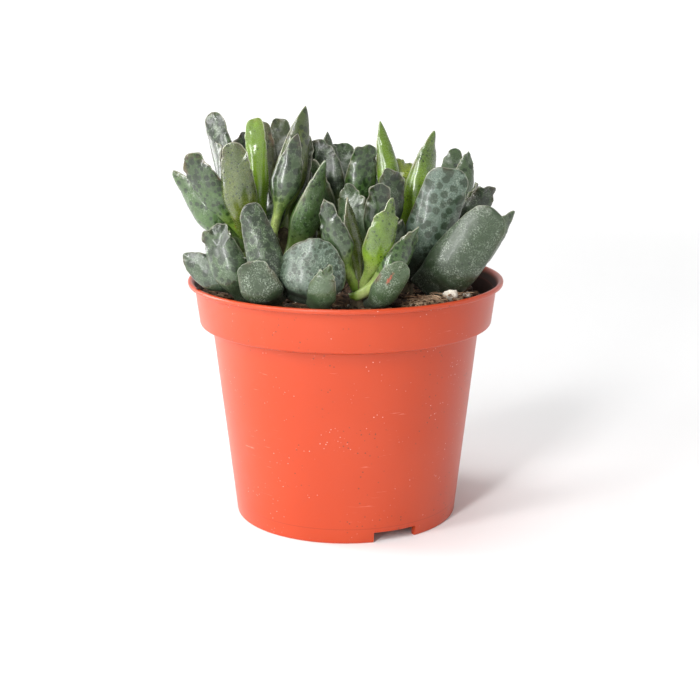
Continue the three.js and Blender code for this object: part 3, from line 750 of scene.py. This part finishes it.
def pot_material(pot):
    """Satin moulded plastic with faint scuffs and dust, and an inside wall darkened by grime and
    painted shade.
    """
    g = Graph("orange_plastic")
    cloud = g.noise(26, 3)
    body = g.mix(g.smooth(cloud, 0.35, 0.7) * 0.3, tuple(pot.colour), tone("#bd4724"))
    scuff = g.noise(420, 3, 0.6, g.stretched(0.25, 0.25, 3.0))
    mark = g.smooth(scuff, 0.65, 0.76) * g.smooth(g.noise(70, 1), 0.54, 0.66)
    body = g.mix(mark * 0.35, body, tone("#f7b9a6"))
    dust = g.smooth(g.cells(800), 0.15, 0.08) * g.smooth(g.noise(120, 2), 0.5, 0.68)
    body = g.mix(dust * 0.5, body, tone("#f4e6dc"))
    soil_speck = g.smooth(g.cells(620), 0.17, 0.1) * g.smooth(g.noise(90, 1), 0.5, 0.6)
    body = g.mix(soil_speck * 0.8, body, tone("#5a3424"))
    radius = g.length(g.stretched(1, 1, 0))
    height = g.height()
    flare = g.smooth(radius - height * 0.5 - 0.00925, 0.00006, -0.00006)
    flare *= g.smooth(height, 0.066, 0.0663)
    inside = g.smooth(radius - height * 0.14 - 0.03295, 0.0003, -0.0002).math("MAXIMUM", flare)
    # Painted shade with some soil grime: the inside wall above the soil is darkened to a dark brown, as
    # if in shadow.
    grime_and_painted_shade = inside * g.smooth(height, 0.0575, 0.0585)
    grime_and_painted_shade *= g.smooth(height + cloud * 0.002, 0.0698, 0.0682)
    body = g.mix(grime_and_painted_shade * 0.95, body, tone("#1d120e"))
    seam = g.smooth((height - 0.0043).math("ABSOLUTE"), 0.0002, 0.00005)
    body = g.mix(seam * 0.35, body, tone("#7c2410"))
    shine = 0.3 + cloud * 0.08 + mark * 0.2 + dust * 0.3 + grime_and_painted_shade * 0.4
    relief = g.noise(1800, 3) * 0.4 + g.noise(160, 2) * 0.6 + dust * 0.6
    return g.surface(Base_Color=body, Roughness=shine, Normal=g.bump(relief, 0.00004, 0.6))


# The soil

HEAP, HEAP_HEIGHT, HEAP_SPREAD = (29, -27), 2.6, 160
DIP, DIP_DEPTH, DIP_SPREAD = (38, 12), 2.6, 150
RIM_CRUMB, RIM_CRUMB_SIZE = (-40.1, -18.3, 69.3), (1.6, 1.1, 0.8)
SOIL_FOOT = 1.3
SOIL_SIDE = [(11.3, SOIL_FOOT), (12.6, 4.9), (31.2, 4.9), (36.8, 57.0), (40.2, 58.0)]
SOIL_TURNS = 150
SOIL_RINGS = 62
SOIL_RADIUS = 41.3
WALL_SLOPE = 0.14
CHIPS = ["perlite_chip_front", "perlite_chip_right", "perlite_chip_back", "bark_chip_middle",
         "bark_chip_right"]
CHIP_SINK = 0.1


def mound(x, y, centre, spread):
    """1 at the centre of a round mound, falling to 0 around it."""
    return exp(-((x - centre[0]) ** 2 + (y - centre[1]) ** 2) / spread)


def soil_height(x, y):
    """Height of the soil's top: low beside the right back wall, heaped up at the right front."""
    broad = 0.7 * sin(0.23 * x + 0.6) * cos(0.19 * y - 0.4)
    small = 0.4 * sin(0.41 * y + 0.3 * x)
    dip = DIP_DEPTH * mound(x, y, DIP, DIP_SPREAD)
    heap = HEAP_HEIGHT * mound(x, y, HEAP, HEAP_SPREAD)
    return SOIL_TOP + broad + small - dip + heap


def soil_shape(soil):
    """The mix, as wide as the pot's inside wall at each height, with a lumpy top."""
    shape = Shape()
    points = [(0, 0, SOIL_FOOT)]
    for r, z in SOIL_SIDE:
        points += circle(r, z, SOIL_TURNS)
    for i in range(SOIL_RINGS):
        share = 1 - i / SOIL_RINGS
        for a in turn_angles(SOIL_TURNS):
            x, y = SOIL_RADIUS * share * cos(a), SOIL_RADIUS * share * sin(a)
            z = soil_height(x, y)
            fit = (40.4 + WALL_SLOPE * (z - 57.5)) / SOIL_RADIUS
            x, y = x * fit, y * fit
            lumps = soil.lump / MM * (0.7 * rough((x, y, 0), 3.0) + 0.5 * rough((x, y, 4), 1.1))
            points.append((x, y, z + lumps * smooth(share, 1.02, 0.96)))
    points.append((0, 0, soil_height(0, 0)))
    shape.add(points, loft_faces(len(SOIL_SIDE) + SOIL_RINGS, SOIL_TURNS))
    return shape


def lump(shape, centre, size, turn, seed, fine=False, slot=0):
    """Adds one rough grain: a ball pushed in and out by noise."""
    rings, sides = (10, 16) if fine else (5, 8)
    points = []
    c, s = cos(turn), sin(turn)
    for i in range(rings + 2):
        polar = pi * i / (rings + 1)
        around = 1 if i in (0, rings + 1) else sides
        for angle in turn_angles(sides)[:around]:
            out = sin(polar)
            way = Vector((out * cos(angle), out * sin(angle), -cos(polar)))
            r = 0.5 * (1 + 0.34 * noise.noise(way * 1.6 + Vector((seed, 0, 0))))
            if fine:
                r += 0.07 * noise.noise(way * 5 + Vector((seed, 3, 0)))
            x, y, z = way.x * r * size[0], way.y * r * size[1], way.z * r * size[2]
            points.append((centre[0] + c * x - s * y, centre[1] + s * x + c * y, centre[2] + z))
    shape.add(points, loft_faces(rings, sides), slot)


def strand(shape, start, bearing, length, radius, lift, draw):
    """Adds one fibre: a thin bent tube."""
    rings, sides = 7, 5
    way = Vector((cos(bearing), sin(bearing), lift))
    curl = draw.uniform(-0.5, 0.5)
    points = []
    middle = Vector(start)
    for i in range(rings):
        side = Vector((-way.y, way.x, 0)).normalized()
        up = way.cross(side).normalized()
        thin = radius * (1 - 0.6 * i / rings)
        points += [middle + (side * cos(a) - up * sin(a)) * thin for a in turn_angles(sides)]
        middle = middle + way.normalized() * (length / rings)
        way = way + side * curl * 0.35 + Vector((0, 0, -0.08))
    points = [Vector(start), *points, middle]
    shape.add(points, loft_faces(rings, sides))


def any_turn(draw):
    """A drawn angle."""
    return draw.uniform(0, 2 * pi)


def on_soil(draw, reach=39.5):
    """A drawn place on the soil's top."""
    r, a = reach * sqrt(draw.random()), any_turn(draw)
    x, y = r * cos(a), r * sin(a)
    return x, y, soil_height(x, y)


def crumbs_shape(soil, draw):
    """Loose crumbs, every third one of bark, and one crumb on the rim."""
    shape = Shape()
    for i in range(soil.crumbs):
        x, y, z = on_soil(draw)
        size = draw.uniform(0.5, 1.9)
        form = (size, size * draw.uniform(0.5, 1), size * draw.uniform(0.4, 0.9))
        lump(shape, (x, y, z + 0.25 * form[2]), form, draw.uniform(0, 6), i * 0.7, slot=int(i % 3 == 0))
    lump(shape, RIM_CRUMB, RIM_CRUMB_SIZE, 0.4, 5, fine=True, slot=1)
    return shape


def fibres_shape(soil, draw):
    """Fibres all over the soil, and a tangle of short ones on the heap."""
    shape = Shape()
    for i in range(soil.fibres):
        x, y, z = on_soil(draw, 38)
        strand(shape, (x, y, z + 0.3), any_turn(draw), draw.uniform(2, 7), draw.uniform(0.08, 0.22),
               draw.uniform(-0.05, 0.3), draw)
    for i in range(soil.heap_fibres):
        a, r = any_turn(draw), 9 * sqrt(draw.random())
        x, y = HEAP[0] + 1.3 * r * cos(a), HEAP[1] + r * sin(a)
        if hypot(x, y) < 40:
            z = soil_height(x, y) + draw.uniform(0.2, 2.2)
            strand(shape, (x, y, z), any_turn(draw), draw.uniform(1.5, 4.5), draw.uniform(0.1, 0.24),
                   draw.uniform(-0.2, 0.35), draw)
    return shape


def grit_shape(soil, draw):
    """Small white grains."""
    shape = Shape()
    for i in range(soil.grit):
        x, y, z = on_soil(draw)
        size = draw.uniform(0.4, 1.1)
        lump(shape, (x, y, z + 0.3 * size), (size, size * 0.8, size * 0.7), draw.uniform(0, 6), i)
    return shape


def chip_shape(name, seed):
    """A chip in its node's place, hardly larger, raised with the heap."""
    low, high = (Vector(corner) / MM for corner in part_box(name))
    middle = (low + high) / 2
    middle.z += mound(middle.x, middle.y, HEAP, HEAP_SPREAD) - CHIP_SINK
    shape = Shape()
    lump(shape, middle, (high - low) * 1.06, 0, seed, fine=True)
    return shape


def soil_material(name, dark, light, spread):
    """Dull and crumbly, from a dark to a light colour in patches; a larger spread has smaller ones."""
    g = Graph(name)
    body = g.mix(g.smooth(g.noise(spread, 4, 0.65), 0.38, 0.66), tone(dark), tone(light))
    body = g.mix(g.smooth(g.noise(2600, 2), 0.58, 0.72) * 0.5, body, tone("#8a6a4c"))
    return g.surface(Base_Color=body, Roughness=0.93, Normal=g.bump(g.noise(1500, 4, 0.7), 0.0005))


# Settings

class PotSettings(bpy.types.PropertyGroup):
    """Sizes and colour of the pot"""
    rim_radius: FloatProperty(
        name="Rim radius", description="Outer radius of the rolled rim", unit="LENGTH",
        default=POT_HIGH[0])
    height: FloatProperty(
        name="Height", description="From the surface it stands on to the rim", unit="LENGTH",
        default=POT_HIGH[2])
    base_radius: FloatProperty(
        name="Base radius", description="Outer radius of the foot", unit="LENGTH", default=0.032)
    wall: FloatProperty(
        name="Wall", description="Thickness of the plastic", unit="LENGTH", default=0.001)
    notch_bearing: FloatProperty(
        name="Notch bearing", description="Turn of the first foot notch from the front, in degrees",
        default=25.5)
    segments: IntProperty(name="Segments", description="Steps round the pot", default=192, min=24)
    colour: FloatVectorProperty(
        name="Colour", description="Colour of the plastic", subtype="COLOR", size=4,
        default=tone("#b2390f"))


class SoilSettings(bpy.types.PropertyGroup):
    """The potting mix and what lies on it"""
    lump: FloatProperty(
        name="Lumps", description="Height of the lumps in the soil's top", unit="LENGTH",
        default=0.0011)
    crumbs: IntProperty(name="Crumbs", description="Number of loose crumbs", default=700)
    fibres: IntProperty(name="Fibres", description="Number of loose fibres", default=300)
    heap_fibres: IntProperty(
        name="Heap fibres", description="Number of fibres on the heap at the right front", default=420)
    grit: IntProperty(name="Grit", description="Number of small white grains", default=46)


class LeafSettings(bpy.types.PropertyGroup):
    """Fineness and markings of the leaves"""
    rings: IntProperty(name="Rings", description="Steps along each leaf", default=54, min=8)
    sides: IntProperty(name="Sides", description="Steps round each leaf", default=44, min=6)
    spot_scale: FloatProperty(
        name="Spot scale", description="Dark spots per metre of leaf", default=430)
    spot_strength: FloatProperty(
        name="Spot strength", description="How dark the spots are", default=0.88, min=0, max=1)


class StageSettings(bpy.types.PropertyGroup):
    """Camera, floor and lights"""
    camera_place: FloatVectorProperty(
        name="Camera", description="Where the camera stands", subtype="TRANSLATION", size=3,
        default=(0.0012, -0.408, 0.149))
    camera_pitch: FloatProperty(
        name="Pitch", description="How far the camera looks down", subtype="ANGLE", default=radians(14))
    lens: FloatProperty(name="Lens", description="Focal length in millimetres", default=74.57)
    floor: FloatVectorProperty(
        name="Floor", description="Colour of the floor and backdrop", subtype="COLOR", size=4,
        default=(0.88, 0.88, 0.88, 1))
    key: FloatProperty(name="Key", description="Strength of the key light in watts", default=3.3)
    side: FloatProperty(
        name="Side", description="Strength of the tall light at the left in watts", default=4.2)
    top: FloatProperty(name="Top", description="Strength of the light overhead in watts", default=2.2)
    glow: FloatProperty(name="Glow", description="Strength of the backdrop's own light", default=1.1)
    room: FloatProperty(name="Room", description="Strength of the room's light", default=0.03)


# Operators

SUBJECT = (0, 0, 0.07)
FLOOR_RADIUS = 0.8
BEND = 0.5
BACKDROP_TOP = 2.6


class PLOVER_OT_pot(bpy.types.Operator):
    """Builds the pot with its rim, collar, drain holes and notches"""
    bl_idname = "plover_eggs.pot"
    bl_label = "Pot"

    def execute(self, context):
        pot = context.scene.plover_pot
        made = pot_shape(pot).piece("pot_body", [pot_material(pot)], "pot_plastic", ["pot"])
        cut_pot(made, pot)
        return {"FINISHED"}


class PLOVER_OT_soil(bpy.types.Operator):
    """Builds the potting mix with its crumbs, fibres, grit and chips"""
    bl_idname = "plover_eggs.soil"
    bl_label = "Soil"

    def execute(self, context):
        soil = context.scene.plover_soil
        peat = soil_material("peat", "#281c14", "#6a4f38", 420)
        straw = soil_material("straw", "#74563c", "#bfa284", 260)
        white = soil_material("perlite_grain", "#cfc6b6", "#f1ece0", 300)
        bark = soil_material("bark_chip", "#241811", "#5a4130", 240)
        soil_shape(soil).piece("potting_mix", [peat], "potting_mix", ["soil"])
        draw = random.Random(4)
        crumbs_shape(soil, draw).piece("soil_crumbs", [peat, bark], "potting_mix")
        fibres_shape(soil, draw).piece("soil_fibres", [straw], "bark")
        grit_shape(soil, draw).piece("soil_grit", [white], "perlite")
        for index, name in enumerate(CHIPS):
            kind = name.split("_")[0]
            material = {"perlite": white, "bark": bark}[kind]
            chip_shape(name, 3 * index).piece(name + "_grain", [material], kind, [name])
        return {"FINISHED"}


class PLOVER_OT_shoots(bpy.types.Operator):
    """Builds every leafy shoot: its stem and its leaves"""
    bl_idname = "plover_eggs.shoots"
    bl_label = "Leafy shoots"

    def execute(self, context):
        leaves = context.scene.plover_leaves
        skin = leaf_material(leaves)
        bark = bark_material()
        for index, (name, shoot) in enumerate(SHOOTS.items()):
            shape = Shape()
            for k, blade in enumerate(shoot["leaves"] + rear_leaves(shoot)):
                add_leaf(shape, blade, index * 9 + k, leaves.rings, leaves.sides)
            add_stem(shape, shoot, index)
            shape.piece(name.replace("shoot", "leafy_shoot"), [skin, bark], "leaf", [name])
        return {"FINISHED"}


class PLOVER_OT_stage(bpy.types.Operator):
    """Sets the floor, the lights and the camera"""
    bl_idname = "plover_eggs.stage"
    bl_label = "Stage"

    def execute(self, context):
        stage = context.scene.plover_stage
        scene = context.scene
        scene.view_settings.view_transform = "Standard"
        g = Graph("pale_floor")
        away = g.length(g.place())
        far = g.smooth(away, 0.3, 0.85)
        lit = g.smooth(away, 0.12, 0.45) * 0.09 + far * (g.smooth(g.height(), 0.7, 0.12) * 0.5 + 0.2)
        glow = g.mix(lit, (0, 0, 0, 1), (1, 1, 1, 1))
        body = g.mix(far, tuple(stage.floor), (0.3, 0.3, 0.3, 1))
        g.surface(Base_Color=body, Roughness=0.9, Emission_Color=glow, Emission_Strength=stage.glow)
        floor = self.backdrop(g.material)
        scene.collection.objects.link(floor)
        self.area_light("key", (-0.55, -0.44, 0.4), 0.16, 0.6, stage.key)
        self.area_light("front", (-0.28, -0.63, 0.42), 0.06, 0.6, 1.3 * stage.key)
        self.area_light("side", (-0.6, 0.16, 0.16), 0.3, 0.5, stage.side)
        self.area_light("top", (-0.05, 0.0, 0.9), 0.4, 0.4, stage.top)
        world = bpy.data.worlds.new("room")
        world.use_nodes = True
        back = world.node_tree.nodes["Background"]
        back.inputs["Color"].default_value = (1, 1, 1, 1)
        back.inputs["Strength"].default_value = stage.room
        scene.world = world
        camera = bpy.data.objects.new("camera", bpy.data.cameras.new("camera"))
        camera.data.lens = stage.lens
        camera.data.clip_start = 0.01
        camera.location = stage.camera_place
        camera.rotation_euler = (pi / 2 - stage.camera_pitch, 0, 0)
        scene.collection.objects.link(camera)
        scene.camera = camera
        return {"FINISHED"}

    def backdrop(self, material):
        """A round floor that bends up all round into a wall."""
        arc = [pi * a / 24 for a in range(13)]
        outline = [(0.3, 0.0), (0.6, 0.0)]
        outline += [(FLOOR_RADIUS + BEND * sin(a), BEND - BEND * cos(a)) for a in arc]
        outline.append((FLOOR_RADIUS + BEND, BACKDROP_TOP))
        turns = 64
        points = [(0, 0, 0)]
        for r, z in outline:
            points += circle(r, z, turns)
        faces = [(0, 1 + j, 1 + (j + 1) % turns) for j in range(turns)]
        for first in range(1, 1 + turns * (len(outline) - 1), turns):
            for j in range(turns):
                k = (j + 1) % turns
                faces.append((first + j, first + turns + j, first + turns + k, first + k))
        mesh = bpy.data.meshes.new("floor")
        mesh.from_pydata(points, [], faces)
        mesh.materials.append(material)
        mesh.shade_smooth()
        return bpy.data.objects.new("floor", mesh)

    def area_light(self, name, place, width, height, watts):
        """Adds a light that faces the plant."""
        light = bpy.data.lights.new(name, "AREA")
        light.shape = "RECTANGLE"
        light.size = width
        light.size_y = height
        light.energy = watts
        made = bpy.data.objects.new(name, light)
        made.location = place
        made.rotation_euler = (Vector(SUBJECT) - Vector(place)).to_track_quat("-Z", "Y").to_euler()
        bpy.context.scene.collection.objects.link(made)


class PLOVER_PT_panel(bpy.types.Panel):
    """Lists the steps that build the plant"""
    bl_idname = "PLOVER_PT_panel"
    bl_label = "Plover Eggs Plant"
    bl_space_type = "VIEW_3D"
    bl_region_type = "UI"
    bl_category = "Plover Eggs"

    def draw(self, context):
        for step in STEPS:
            self.layout.operator(step.bl_idname)


STEPS = [PLOVER_OT_pot, PLOVER_OT_soil, PLOVER_OT_shoots, PLOVER_OT_stage]
GROUPS = {
    "plover_pot": PotSettings,
    "plover_soil": SoilSettings,
    "plover_leaves": LeafSettings,
    "plover_stage": StageSettings,
}


def register():
    for group in GROUPS.values():
        bpy.utils.register_class(group)
    for name, group in GROUPS.items():
        setattr(bpy.types.Scene, name, PointerProperty(type=group))
    for kind in [*STEPS, PLOVER_PT_panel]:
        bpy.utils.register_class(kind)


def unregister():
    for kind in [PLOVER_PT_panel, *STEPS[::-1]]:
        bpy.utils.unregister_class(kind)
    for name, group in GROUPS.items():
        delattr(bpy.types.Scene, name)
        bpy.utils.unregister_class(group)


def main():
    register()
    bpy.ops.plover_eggs.pot()
    bpy.ops.plover_eggs.soil()
    bpy.ops.plover_eggs.shoots()
    bpy.ops.plover_eggs.stage()


if __name__ == "__main__":
    main()
